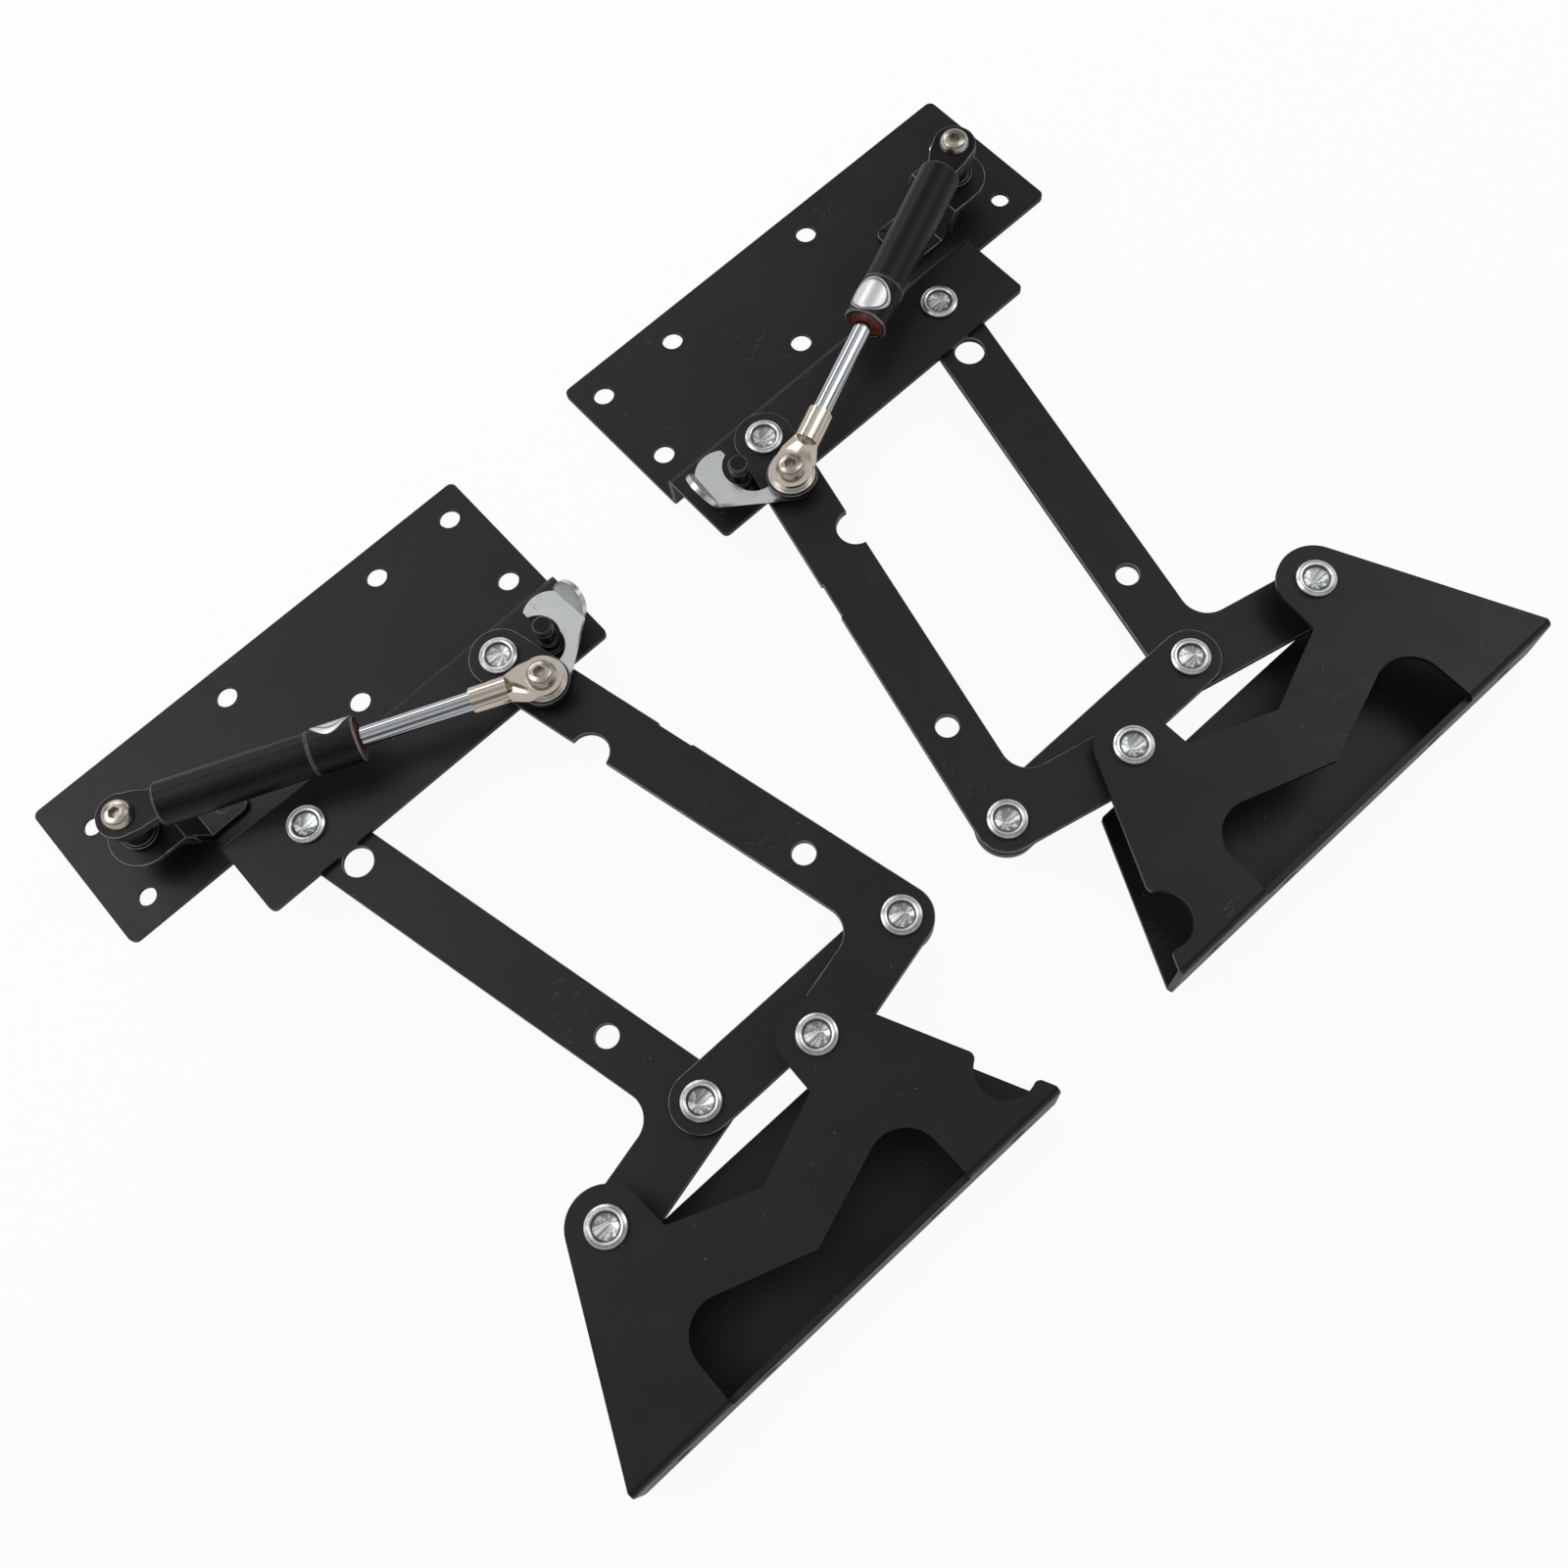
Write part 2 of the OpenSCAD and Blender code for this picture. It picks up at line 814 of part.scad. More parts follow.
right() plate();  // plate_right
right() plate_rivets();  // plate_rivets_right
right() pivot_bush();  // pivot_bush_right
right() stop_pin();  // stop_pin_right
right() tail_bracket();  // tail_bracket_right
right() upper_arm();  // upper_arm_right
right() hook_sleeve();  // hook_sleeve_right
right() hook_spacer();  // hook_spacer_right
right() eye_washer();  // eye_washer_right
right() eye_bolt();  // eye_bolt_right
right() hook();  // hook_right
right() lower_arm();  // lower_arm_right
right() brace();  // brace_right
right() brace_rivets();  // brace_rivets_right
right() brace_bush();  // brace_bush_right
right() bracket();  // bracket_right
right() bracket_rivets();  // bracket_rivets_right
right() short_bush();  // short_bush_right
right() long_bush();  // long_bush_right
right() rod();  // rod_right
right() rod_end();  // rod_end_right
right() piston();  // piston_right
right() tube();  // tube_right
right() gland();  // gland_right
right() wiper();  // wiper_right
right() label(-12);  // label_right
right() tail_eye();  // tail_eye_right
right() tail_post();  // tail_post_right
right() tail_bolt();  // tail_bolt_right
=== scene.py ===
"""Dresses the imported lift-top table mechanism and sets it on a white studio floor."""

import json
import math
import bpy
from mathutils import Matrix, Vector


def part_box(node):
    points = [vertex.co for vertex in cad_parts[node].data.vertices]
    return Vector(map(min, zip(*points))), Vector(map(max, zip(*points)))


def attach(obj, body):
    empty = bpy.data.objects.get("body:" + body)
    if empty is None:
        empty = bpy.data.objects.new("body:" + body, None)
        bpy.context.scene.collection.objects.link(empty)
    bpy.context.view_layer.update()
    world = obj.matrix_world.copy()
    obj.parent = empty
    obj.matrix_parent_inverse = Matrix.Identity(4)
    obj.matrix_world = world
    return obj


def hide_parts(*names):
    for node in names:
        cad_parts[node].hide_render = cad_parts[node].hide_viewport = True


bl_info = {
    "name": "Lift-top table mechanism",
    "version": (1, 0, 0),
    "blender": (4, 5, 0),
    "location": "3D View > Sidebar > Mechanism",
    "description": "Finishes the two linkage units, their gas springs and latch hooks",
    "category": "Object",
}

import bmesh
import bpy
from bpy.props import (
    FloatProperty,
    FloatVectorProperty,
    PointerProperty,
)
from bpy.types import Operator, Panel, PropertyGroup
from mathutils import Matrix, Vector

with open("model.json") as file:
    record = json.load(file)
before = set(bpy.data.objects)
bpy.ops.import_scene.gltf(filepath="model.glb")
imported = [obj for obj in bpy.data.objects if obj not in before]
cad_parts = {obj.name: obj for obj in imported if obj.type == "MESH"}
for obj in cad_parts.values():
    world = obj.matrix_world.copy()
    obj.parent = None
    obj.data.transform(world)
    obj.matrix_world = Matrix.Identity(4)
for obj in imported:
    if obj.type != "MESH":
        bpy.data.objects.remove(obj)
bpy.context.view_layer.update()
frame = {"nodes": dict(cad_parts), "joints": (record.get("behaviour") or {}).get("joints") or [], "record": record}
SIDES = ("left", "right")
BODY_OF_NODE = {
    node: body for body, nodes in frame["record"]["behaviour"]["bodies"].items() for node in nodes
}
JOINTS = {joint["name"]: joint for joint in frame["joints"]}

# Sockets of the colour mix node, whose names its number and vector sockets share
MIX_UNDER = 6
MIX_OVER = 7
MIX_RESULT = 2

# Attributes that hold each point's distance from a turning axis and the way out from it
TURN_RADIUS = "turn_radius"
TURN_WAY = "turn_way"

# Angles in degrees: faces joined as flat, creases shaded sharp, and edges that get broken
FLAT_ANGLE = 0.4
SHARP_ANGLE = 32.0
NEVER_SHARP = 180.0
BROKEN_ANGLE = 38.0

# Lengths in metres
MERGE_GAP = 2e-6
RIVET_REACH = 0.008
DIMPLE_REACH = 0.0047
STICKER_REACH = 0.0083
SOCKET_REACH = 0.0028
SOCKET_DEPTH = 0.004

# The stop pins' edges are sharper than those of other turned pieces
PIN_EDGE_SHARE = 0.4

# Extra points along each edge of the stickers, for their printed ring
STICKER_CUTS = 5

# Grey of a rivet head at each distance from its axis, all painted light and shade: a dimple with a painted
# highlight band, painted shade on its dark wall, and a stepped rim at full tone with thin painted dark lines at a
# step and at its outer edge
RIVET_LIGHT_AND_SHADE = (
    (0.0, 0.70),
    (0.0034, 0.98),
    (0.0045, 0.74),
    (0.0048, 0.18),
    (0.0053, 0.15),
    (0.0056, 0.94),
    (0.0063, 1.0),
    (0.0066, 0.24),
    (0.0069, 0.96),
    (0.0076, 1.0),
    (0.0079, 0.40),
)

# Brightness of the sky at each height: a low sweep, a dim band, and bright boxes overhead
SKY_BANDS = (
    (0.0, 1.3),
    (0.26, 1.1),
    (0.42, 0.2),
    (0.70, 0.25),
    (0.84, 1.3),
    (0.93, 1.2),
    (1.0, 0.6),
)

# Each lamp's place, its width and height, and its share of the key's power
LAMPS = {
    "key": ((-0.9, 0.9, 1.5), (1.0, 1.0), 1.0),
    "fill": ((1.2, -0.3, 1.3), (0.7, 1.2), 0.55),
    "strip": ((0.2, 1.4, 0.9), (1.2, 0.3), 0.5),
}

# How much of the floor is plain white to the camera, and in reflections
FLOOR_SEEN_SHARE = 0.93
FLOOR_GLOSSY_SHARE = 0.35


# Settings


def colour(name, description, default):
    return FloatVectorProperty(
        name=name, description=description, subtype="COLOR", size=3, min=0, max=1, default=default
    )


def length(name, description, default):
    return FloatProperty(
        name=name, description=description, subtype="DISTANCE", unit="LENGTH", default=default,
        precision=5,
    )


class MechanismFinish(PropertyGroup):
    """Colours and roughness of the finishes."""

    coat: colour("Powder coat", "Black of the coated sheet metal", (0.0072, 0.0072, 0.0080))
    zinc: colour("Zinc plate", "Colour of the rivets and the latch hooks", (0.74, 0.76, 0.765))
    steel: colour("Screws", "Colour of the button-head screws", (0.52, 0.475, 0.42))
    nickel: colour("Rod end", "Warm nickel of the rod ends", (0.70, 0.625, 0.53))
    chrome: colour("Rod", "Hard chrome of the piston rods", (0.54, 0.56, 0.59))
    seal: colour("Wiper", "Orange brown of the rod seals", (0.30, 0.075, 0.018))
    sticker: colour("Sticker", "Silver of the blank stickers", (0.78, 0.78, 0.79))
    coat_roughness: FloatProperty(
        name="Coat roughness", description="Sheen of the powder coat", default=0.42, min=0, max=1
    )


class MechanismEdges(PropertyGroup):
    """How far edges are broken."""

    sheet: length("Sheet edge", "Radius of the deburred sheet edges", 0.00032)
    hook: length("Hook edge", "Radius of the latch hooks' edges", 0.0005)
    turned: length("Turned edge", "Radius of the edges of turned and forged pieces", 0.00025)


class MechanismStage(PropertyGroup):
    """Camera, floor and lamps."""

    azimuth: FloatProperty(
        name="Azimuth", description="Camera's angle round the part", default=-30.35
    )
    elevation: FloatProperty(
        name="Elevation", description="Camera's angle above the floor", default=69.99
    )
    roll: FloatProperty(name="Roll", description="Camera's roll about its view", default=-12.32)
    distance: length("Distance", "Camera to its target on the floor", 0.67387)
    target_x: length("Target X", "Place that the camera looks at", -0.01937)
    target_y: length("Target Y", "Place that the camera looks at", -0.01942)
    lens: FloatProperty(name="Lens", description="Focal length in millimetres", default=38.6)
    floor_size: length("Floor", "Width of the floor", 12.0)
    world_level: FloatProperty(
        name="World", description="Level of the soft light all round", default=0.55
    )
    key_level: FloatProperty(name="Key", description="Power of the key lamp", default=9.0)


def settings():
    scene = bpy.context.scene
    return scene.mechanism_finish, scene.mechanism_edges, scene.mechanism_stage


# Materials


def scaled(value, factor):
    """A colour made darker or paler."""
    return tuple(channel * factor for channel in value)


def greys(stops):
    """Turns (position, brightness) stops into (position, colour) stops."""
    return [(position, (level, level, level)) for position, level in stops]


def fill_ramp(ramp, stops):
    """Sets a colour ramp from (position, colour) stops in rising order."""
    for element, (position, value) in zip(ramp.elements, (stops[0], stops[-1])):
        element.position = position
        element.color = (*value, 1)
    for position, value in stops[1:-1]:
        ramp.elements.new(position).color = (*value, 1)


class Graph:
    """A material's node tree, with short ways to add and join its nodes."""

    def __init__(self, name):
        self.material = bpy.data.materials.get(name) or bpy.data.materials.new(name)
        self.material.use_nodes = True
        self.tree = self.material.node_tree
        self.tree.nodes.clear()
        self.shader = self.add("ShaderNodeBsdfPrincipled")
        self.output = self.add("ShaderNodeOutputMaterial")
        self.join(self.shader.outputs["BSDF"], self.output.inputs["Surface"])
        self.place = self.add("ShaderNodeTexCoord").outputs["Object"]

    def add(self, kind, **values):
        node = self.tree.nodes.new(kind)
        for key, value in values.items():
            setattr(node, key, value)
        return node

    def join(self, out, into):
        self.tree.links.new(out, into)

    def compute(self, operation, *values):
        """Arithmetic on plain numbers and other nodes' outputs."""
        node = self.add("ShaderNodeMath", operation=operation)
        for socket, value in zip(node.inputs, values):
            if isinstance(value, bpy.types.NodeSocket):
                self.join(value, socket)
            else:
                socket.default_value = value
        return node.outputs["Value"]

    def noise(self, scale, detail=3.0, stretch=(1, 1, 1)):
        mapping = self.add("ShaderNodeMapping")
        mapping.inputs["Scale"].default_value = stretch
        self.join(self.place, mapping.inputs["Vector"])
        return self.noise_at(mapping.outputs["Vector"], scale, detail)

    def noise_at(self, place, scale, detail):
        node = self.add("ShaderNodeTexNoise")
        node.inputs["Scale"].default_value = scale
        node.inputs["Detail"].default_value = detail
        self.join(place, node.inputs["Vector"])
        return node.outputs["Fac"]

    def tones(self, fac, stops):
        """A colour for each value of fac, from (value, colour) stops."""
        node = self.add("ShaderNodeValToRGB")
        fill_ramp(node.color_ramp, stops)
        self.join(fac, node.inputs["Fac"])
        return node.outputs["Color"]

    def ramp(self, fac, low, high, dark, light):
        """One colour up to low, another from high, and a blend between them."""
        return self.tones(fac, ((low, dark), (high, light)))

    def specks(self, scale, size, share):
        """Scattered small spots: 1 on a spot and 0 off it."""
        cells = self.add("ShaderNodeTexVoronoi")
        cells.inputs["Scale"].default_value = scale
        self.join(self.place, cells.inputs["Vector"])
        split = self.add("ShaderNodeSeparateColor")
        self.join(cells.outputs["Color"], split.inputs["Color"])
        near = self.compute("LESS_THAN", cells.outputs["Distance"], size)
        chosen = self.compute("LESS_THAN", split.outputs["Red"], share)
        return self.compute("MULTIPLY", near, chosen)

    def scratches(self, scale, width, share, stretch=(1, 5, 1)):
        """Hairlines along the level lines of a stretched noise, kept only in a few places."""
        line = self.compute("COMPARE", self.noise(scale, 2, stretch), 0.5, width)
        place = self.compute("GREATER_THAN", self.noise(scale * 0.9), 1.0 - share)
        return self.compute("MULTIPLY", line, place)

    def over(self, fac, under, top):
        """A plain colour laid over another wherever fac is 1."""
        mix = self.add("ShaderNodeMix", data_type="RGBA")
        self.join(fac, mix.inputs["Factor"])
        self.join(under, mix.inputs[MIX_UNDER])
        mix.inputs[MIX_OVER].default_value = (*top, 1)
        return mix.outputs[MIX_RESULT]

    def times(self, one, other, where=None):
        """Two tones multiplied together, everywhere or only where the mask is 1."""
        mix = self.add("ShaderNodeMix", data_type="RGBA", blend_type="MULTIPLY")
        mix.inputs["Factor"].default_value = 1.0
        if where is not None:
            self.join(where, mix.inputs["Factor"])
        self.join(one, mix.inputs[MIX_UNDER])
        self.join(other, mix.inputs[MIX_OVER])
        return mix.outputs[MIX_RESULT]

    def spread(self, fac, low, high):
        """Stretches 0 to 1 over the range from low to high."""
        node = self.add("ShaderNodeMapRange")
        node.inputs["To Min"].default_value = low
        node.inputs["To Max"].default_value = high
        self.join(fac, node.inputs["Value"])
        return node.outputs["Result"]

    def bump(self, height, strength, distance, under=None):
        node = self.add("ShaderNodeBump")
        node.inputs["Strength"].default_value = strength
        node.inputs["Distance"].default_value = distance
        self.join(height, node.inputs["Height"])
        if under is not None:
            self.join(under, node.inputs["Normal"])
        return node.outputs["Normal"]

    def radius(self):
        """Distance to the piece's own turning axis."""
        return self.add("ShaderNodeAttribute", attribute_name=TURN_RADIUS).outputs["Fac"]

    def way(self):
        """Direction straight out from the piece's own turning axis."""
        return self.add("ShaderNodeAttribute", attribute_name=TURN_WAY).outputs["Vector"]

    def rings(self, pitch):
        """Fine rings left by a lathe."""
        return self.compute("SINE", self.compute("MULTIPLY", self.radius(), 2 * math.pi / pitch))

    def streaks(self, scale):
        """A noise in streaks that run straight out from the axis."""
        unit = self.add("ShaderNodeVectorMath", operation="NORMALIZE")
        self.join(self.way(), unit.inputs[0])
        return self.noise_at(unit.outputs["Vector"], scale, 2.0)

    def bands(self, reach, stops):
        """A colour for each distance from the axis, from (distance, colour) stops."""
        share = self.compute("DIVIDE", self.radius(), reach)
        return self.tones(share, [(distance / reach, value) for distance, value in stops])

    def stretch_highlights(self, amount):
        """Draws highlights out across the tool marks, as on a faced or turned end."""
        turned = self.add(
            "ShaderNodeVectorTransform", vector_type="VECTOR", convert_from="OBJECT",
            convert_to="WORLD",
        )
        self.join(self.way(), turned.inputs["Vector"])
        self.join(turned.outputs["Vector"], self.shader.inputs["Tangent"])
        self.shader.inputs["Anisotropic"].default_value = amount

    def finish(self, base, roughness, normal=None, metallic=0.0, specular=None):
        inputs = self.shader.inputs
        self.join(base, inputs["Base Color"])
        self.join(roughness, inputs["Roughness"])
        if normal is not None:
            self.join(normal, inputs["Normal"])
        inputs["Metallic"].default_value = metallic
        if specular is not None:
            inputs["Specular IOR Level"].default_value = specular
        return self.material


def powder_coat():
    """Black powder coat, faintly mottled, with a little dust and a few hairlines."""
    finish = settings()[0]
    graph = Graph("black_powder_coat")
    coat = finish.coat
    tone = graph.ramp(graph.noise(26.0, 5), 0.3, 0.72, scaled(coat, 0.75), scaled(coat, 1.3))
    dust = graph.specks(scale=160.0, size=0.045, share=0.22)
    tone = graph.over(dust, tone, scaled(coat, 18.0))
    hairlines = graph.scratches(scale=34.0, width=0.0022, share=0.40)
    tone = graph.over(hairlines, tone, scaled(coat, 7.0))
    sheen = graph.spread(
        graph.noise(70.0, 6), finish.coat_roughness - 0.07, finish.coat_roughness + 0.08
    )
    peel = graph.bump(graph.noise(1500.0, 2), strength=0.16, distance=0.00006)
    ripple = graph.bump(graph.noise(240.0, 2), strength=0.10, distance=0.00012, under=peel)
    return graph.finish(tone, sheen, ripple, specular=0.34)


def edge_coat_painted_highlight():
    """The same black on the broken edges, smoother there, painted paler as a highlight along them, and chipped."""
    finish = settings()[0]
    graph = Graph("black_coat_edge")
    coat = finish.coat
    # Painted highlight: the edges' black raised to 7 to 32 times the coat's own
    tone = graph.ramp(graph.noise(160.0, 6), 0.32, 0.60, scaled(coat, 7.0), scaled(coat, 32.0))
    chips = graph.compute("GREATER_THAN", graph.noise(75.0, 4), 0.66)
    tone = graph.over(chips, tone, scaled(finish.steel, 0.6))
    sheen = graph.spread(graph.noise(400.0), 0.22, 0.36)
    return graph.finish(tone, sheen, specular=0.8)


def gloss_black():
    """Smoother black of the gas spring tubes."""
    coat = settings()[0].coat
    graph = Graph("tube_black")
    tone = graph.ramp(graph.noise(60.0, 4), 0.3, 0.75, scaled(coat, 0.6), scaled(coat, 1.0))
    sheen = graph.spread(graph.noise(120.0, 5), 0.36, 0.43)
    peel = graph.bump(graph.noise(900.0, 2), strength=0.08, distance=0.00004)
    return graph.finish(tone, sheen, peel, specular=0.21)


def zinc_plate():
    """Clouded zinc with hairlines."""
    zinc = settings()[0].zinc
    graph = Graph("bright_zinc")
    tone = graph.ramp(graph.noise(150.0, 5), 0.25, 0.8, scaled(zinc, 0.86), zinc)
    hairlines = graph.scratches(scale=70.0, width=0.006, share=0.50, stretch=(5, 1, 1))
    tone = graph.over(hairlines, tone, scaled(zinc, 0.62))
    sheen = graph.spread(graph.noise(240.0, 4), 0.26, 0.36)
    grain = graph.bump(graph.noise(900.0, 2), strength=0.03, distance=0.00002)
    return graph.finish(tone, sheen, grain, metallic=1.0)


def zinc_painted_edge_highlight():
    """Zinc on the edges, painted paler as a highlight."""
    zinc = settings()[0].zinc
    graph = Graph("zinc_painted_edge_highlight")
    # Painted highlight: the edge tone runs from the zinc up to a paler 0.94
    tone = graph.ramp(graph.noise(300.0, 4), 0.2, 0.7, zinc, (0.94, 0.95, 0.95))
    sheen = graph.spread(graph.noise(500.0), 0.30, 0.45)
    return graph.finish(tone, sheen, metallic=1.0)


def rivet_zinc():
    """Formed rivet heads with painted light and shade: a pale stepped rim with painted dark lines, painted shade
    on a dark wall, and painted highlight streaks in the dimple.
    """
    zinc = settings()[0].zinc
    graph = Graph("formed_zinc_rivet")
    # Painted light and shade in bands round the axis
    painted_bands = graph.bands(RIVET_REACH, greys(RIVET_LIGHT_AND_SHADE))
    # Radial streaks that take the whole head down to 0.8 of its tone in places
    radial_streaks = graph.ramp(graph.streaks(1.4), 0.40, 0.60, (0.80, 0.81, 0.80), (1.0, 1.0, 1.0))
    # Painted highlight: light and dark wedges out from the axis in the dimple, standing in for a sunburst
    # reflection
    painted_sunburst = graph.ramp(graph.streaks(2.0), 0.44, 0.56, (0.42, 0.44, 0.425), (1.30, 1.31, 1.30))
    cloud = graph.ramp(graph.noise(300.0, 4), 0.2, 0.85, scaled(zinc, 1.2), (1.0, 1.0, 1.0))
    dimple = graph.compute("LESS_THAN", graph.radius(), DIMPLE_REACH)
    tone = graph.times(graph.times(graph.times(painted_bands, radial_streaks), painted_sunburst, dimple), cloud)
    sheen = graph.spread(graph.noise(300.0), 0.28, 0.38)
    graph.stretch_highlights(0.6)
    return graph.finish(tone, sheen, metallic=1.0)


def turned_metal(name, tint, roughness, pitch, depth, stretch):
    """Metal turned on a lathe, with rings round each piece's own axis and a fine grain."""
    graph = Graph(name)
    tone = graph.ramp(graph.noise(300.0, 4), 0.2, 0.85, scaled(tint, 0.9), tint)
    sheen = graph.spread(graph.noise(500.0), *roughness)
    rings = graph.bump(graph.rings(pitch), strength=0.15, distance=depth)
    grain = graph.bump(graph.noise(1100.0), strength=0.12, distance=0.00002, under=rings)
    graph.stretch_highlights(stretch)
    return graph.finish(tone, sheen, grain, metallic=1.0)


def socket_painted_shade():
    """Steel down in a screw's key socket, dull, and painted dark as the shade in the recess."""
    steel = settings()[0].steel
    graph = Graph("screw_socket")
    # Painted shade: 0.55 to 0.95 of the screws' steel
    tone = graph.ramp(graph.noise(700.0), 0.35, 0.65, scaled(steel, 0.55), scaled(steel, 0.95))
    sheen = graph.spread(graph.noise(500.0), 0.3, 0.42)
    return graph.finish(tone, sheen, metallic=1.0)


def hard_chrome():
    """Faintly smeared chrome."""
    chrome = settings()[0].chrome
    graph = Graph("hard_chrome")
    tone = graph.ramp(graph.noise(180.0, 4), 0.2, 0.9, scaled(chrome, 0.93), chrome)
    sheen = graph.spread(graph.noise(260.0, 5), 0.06, 0.14)
    return graph.finish(tone, sheen, metallic=1.0)


def seal_rubber():
    """Mottled rubber of the wipers."""
    seal = settings()[0].seal
    graph = Graph("wiper_seal")
    tone = graph.ramp(graph.noise(500.0, 4), 0.3, 0.8, scaled(seal, 0.5), seal)
    sheen = graph.spread(graph.noise(900.0), 0.35, 0.55)
    grain = graph.bump(graph.noise(2200.0, 2), strength=0.1, distance=0.00005)
    return graph.finish(tone, sheen, grain)


def silver_sticker():
    """A blank silver sticker with a fine dark ring just inside its edge."""
    silver = settings()[0].sticker
    ring = (0.16, 0.16, 0.165)
    graph = Graph("silver_sticker")
    share = graph.compute("DIVIDE", graph.radius(), STICKER_REACH)
    tone = graph.tones(share, ((0.84, silver), (0.87, ring), (0.91, ring), (0.94, silver)))
    sheen = graph.spread(graph.noise(300.0, 4), 0.34, 0.46)
    wrinkle = graph.bump(graph.noise(260.0, 2), strength=0.12, distance=0.0001)
    return graph.finish(tone, sheen, wrinkle, metallic=0.85)


# Pieces


def merged_copy(node):
    """A bmesh of a node's own shape with its loose triangles joined up."""
    shape = bmesh.new()
    shape.from_mesh(frame["nodes"][node].data)
    bmesh.ops.remove_doubles(shape, verts=shape.verts, dist=MERGE_GAP)
    bmesh.ops.dissolve_limit(
        shape, angle_limit=math.radians(FLAT_ANGLE), use_dissolve_boundaries=False,
        verts=shape.verts, edges=shape.edges, delimit=set(),
    )
    return shape


def add_points(shape, cuts):
    """Cuts each face up finely, so that a stored distance is right inside it too."""
    bmesh.ops.triangulate(shape, faces=shape.faces)
    bmesh.ops.subdivide_edges(shape, edges=shape.edges, cuts=cuts, use_grid_fill=True)


def offset_from(point, place, direction):
    """From an axis out to a point, square to the axis."""
    along = point - place
    return along - along.project(direction)


def mark_turning(shape, axes):
    """Stores each point's distance to the nearest axis, and the way straight out from it."""
    radius = shape.verts.layers.float.new(TURN_RADIUS)
    way = shape.verts.layers.float_vector.new(TURN_WAY)
    for vert in shape.verts:
        out = min(
            (offset_from(vert.co, place, direction) for place, direction in axes),
            key=lambda offset: offset.length,
        )
        vert[radius] = out.length
        vert[way] = out.normalized()


def add_piece(node, shape, material, sharp):
    """Makes a smooth object of a bmesh, on its node's body."""
    for face in shape.faces:
        face.smooth = True
    name = node + "_dressed"
    mesh = bpy.data.meshes.new(name)
    shape.to_mesh(mesh)
    shape.free()
    mesh.set_sharp_from_angle(angle=math.radians(sharp))
    mesh.materials.append(material)
    piece = bpy.data.objects.new(name, mesh)
    bpy.context.scene.collection.objects.link(piece)
    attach(piece, BODY_OF_NODE[node])
    return piece


def break_edges(piece, radius, finish):
    """Rounds a piece's edges and gives the rounds their own finish, painted paler there as a highlight."""
    piece.data.materials.append(finish)
    bevel = piece.modifiers.new("broken_edges", "BEVEL")
    bevel.material = 1
    bevel.width = radius
    bevel.segments = 2
    bevel.limit_method = "ANGLE"
    bevel.angle_limit = math.radians(BROKEN_ANGLE)
    bevel.profile = 0.5
    bevel.use_clamp_overlap = True
    even = piece.modifiers.new("flat_faces", "WEIGHTED_NORMAL")
    even.keep_sharp = True
    even.weight = 100


def dress(node, material, edge=0.0, edge_finish=None, axes=(), cuts=0):
    """Stands a joined, smooth-shaded copy of a node in the node's place."""
    shape = merged_copy(node)
    if cuts:
        add_points(shape, cuts)
    if axes:
        mark_turning(shape, axes)
    piece = add_piece(node, shape, material, NEVER_SHARP if edge else SHARP_ANGLE)
    if edge:
        break_edges(piece, edge, edge_finish)
    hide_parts(node)
    return piece


def line_socket(piece, finish):
    """Gives the faces down inside a screw's key socket a finish of their own, with painted shade."""
    mesh = piece.data
    mesh.materials.append(finish)
    radius = mesh.attributes[TURN_RADIUS].data
    floor = max(vert.co.z for vert in mesh.vertices) - SOCKET_DEPTH
    for face in mesh.polygons:
        inside = all(radius[vert].value < SOCKET_REACH for vert in face.vertices)
        if inside and face.center.z > floor:
            face.material_index = 1


def upright_axes(node):
    """The upright axes of a node that holds one or two turned pieces side by side."""
    low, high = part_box(node)
    reach = (high.y - low.y) / 2
    middle = (low.y + high.y) / 2
    if high.x - low.x < 3 * reach:
        across = [low.x / 2 + high.x / 2]
    else:
        across = [low.x + reach, high.x - reach]
    return [(Vector((x, middle, 0)), Vector((0, 0, 1))) for x in across]


def gas_axis(side):
    """Middle of the rod end's eye, and the direction along the spring to its tail."""
    pivot = JOINTS["rod_end_pivot_" + side]["pos_m"]
    return Vector(pivot), Vector(JOINTS["gas_stroke_" + side]["axis"]).normalized()


def sticker_axis(side):
    """From the gas spring's axis out through the middle of the sticker."""
    low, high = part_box("label_" + side)
    middle = (Vector(low) + Vector(high)) / 2
    out = offset_from(middle, *gas_axis(side))
    return middle - out, out.normalized()


# Stage


def studio_floor():
    """A white floor that stays white to the camera and in reflections, with soft shadows."""
    graph = Graph("studio_floor")
    diffuse = graph.add("ShaderNodeBsdfDiffuse")
    tone = graph.ramp(graph.noise(3.0, 2), 0.2, 0.8, (0.93, 0.93, 0.93), (0.95, 0.95, 0.95))
    graph.join(tone, diffuse.inputs["Color"])
    glow = graph.add("ShaderNodeEmission")
    rays = graph.add("ShaderNodeLightPath").outputs
    seen = graph.compute("MULTIPLY", rays["Is Camera Ray"], FLOOR_SEEN_SHARE)
    share = graph.compute("MULTIPLY_ADD", rays["Is Glossy Ray"], FLOOR_GLOSSY_SHARE, seen)
    mix = graph.add("ShaderNodeMixShader")
    graph.join(share, mix.inputs["Fac"])
    graph.join(diffuse.outputs["BSDF"], mix.inputs[1])
    graph.join(glow.outputs["Emission"], mix.inputs[2])
    graph.join(mix.outputs["Shader"], graph.output.inputs["Surface"])
    return graph.material


def lay_floor(scene, size):
    shape = bmesh.new()
    bmesh.ops.create_grid(shape, x_segments=1, y_segments=1, size=size / 2)
    mesh = bpy.data.meshes.new("floor")
    shape.to_mesh(mesh)
    shape.free()
    mesh.materials.append(studio_floor())
    floor = bpy.data.objects.new("floor", mesh)
    scene.collection.objects.link(floor)


